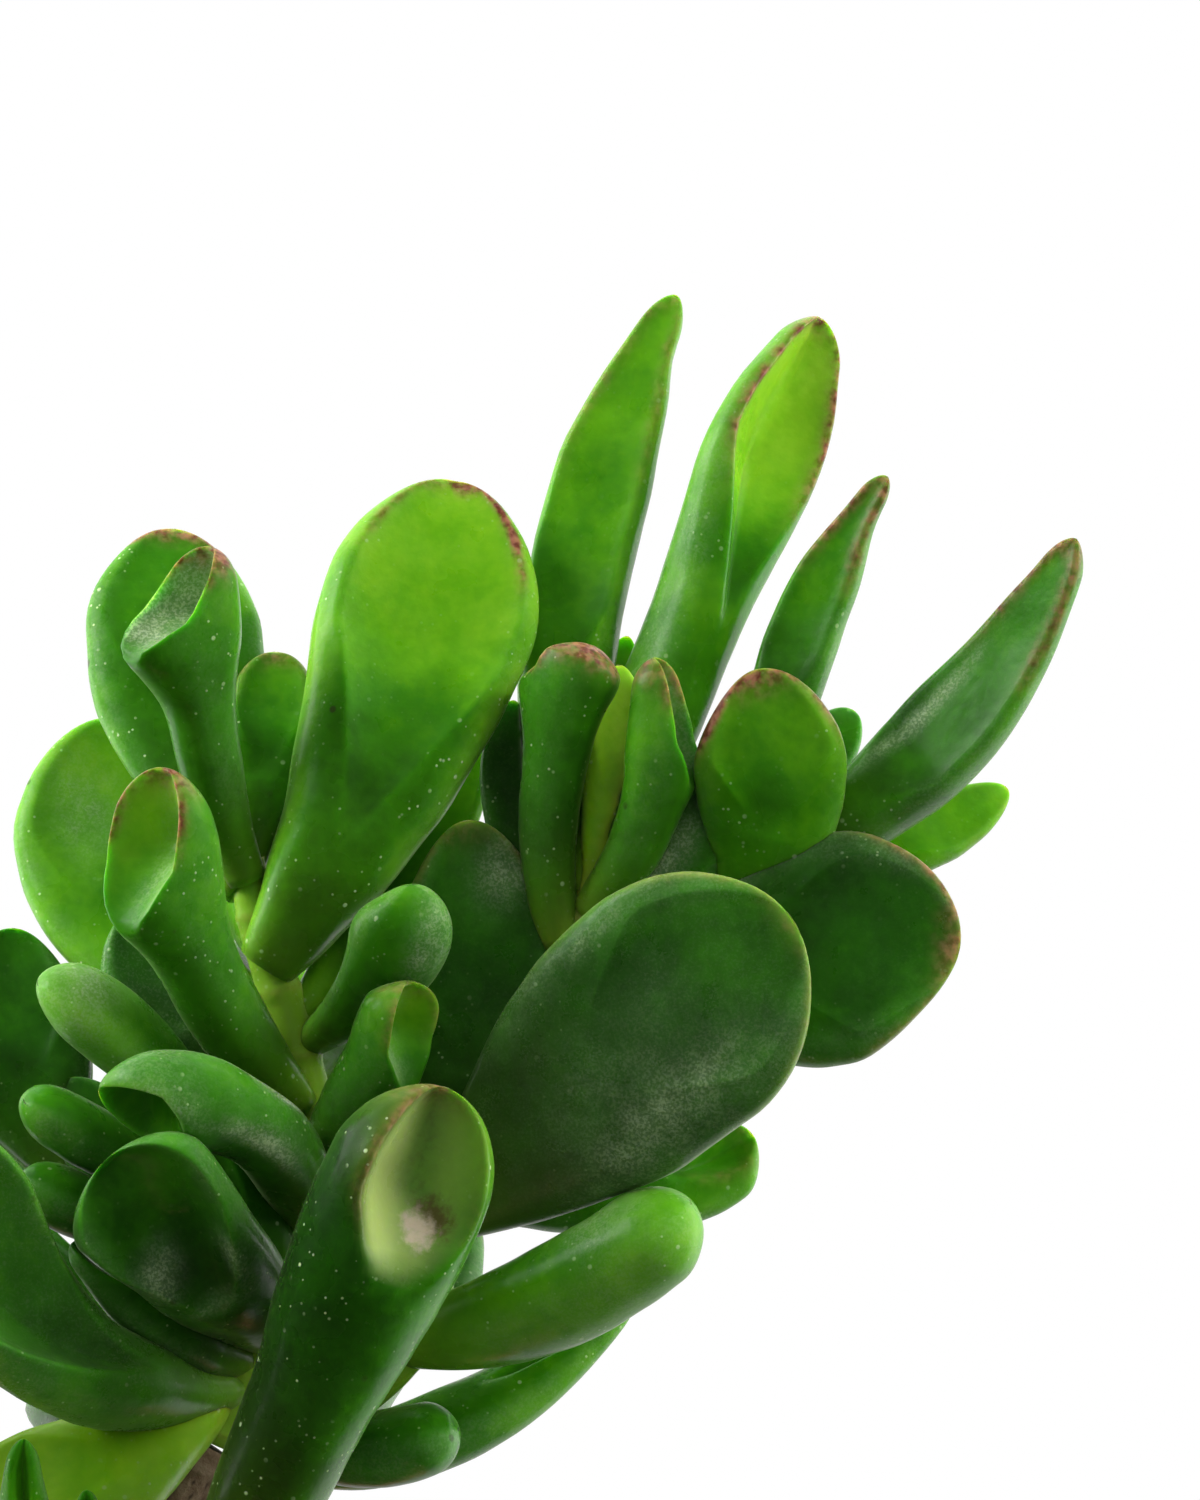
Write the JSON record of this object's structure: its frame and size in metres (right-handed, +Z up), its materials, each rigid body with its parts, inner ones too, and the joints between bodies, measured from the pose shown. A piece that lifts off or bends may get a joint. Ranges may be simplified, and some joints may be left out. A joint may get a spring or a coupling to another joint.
{
  "type": "potted trumpet jade plant",
  "caption": "Trumpet jade succulent in a plain round terracotta pot: a woody trunk with leafy shoots of glossy green finger, trumpet, spoon and paddle leaves.",
  "frame": {"origin": "centre of the pot's underside, on the surface that the pot stands on", "axes": "+Z up along the pot's axis, -Y towards the plant's front, +X to the right seen from the front"},
  "size_m": [0.1645, 0.1201, 0.221],
  "materials": {
    "terracotta": "matte",
    "potting_mix": "matte",
    "bark": "matte",
    "leaf": "satin"
  },
  "bodies": {
    "root": {"pot": "terracotta", "soil": "potting_mix", "trunk": "bark", "front_shoot": "leaf", "right_shoot": "leaf", "low_shoot": "leaf", "left_shoot": "leaf", "back_shoot": "leaf", "left_back_shoot": "leaf"}
  },
  "joints": []
}
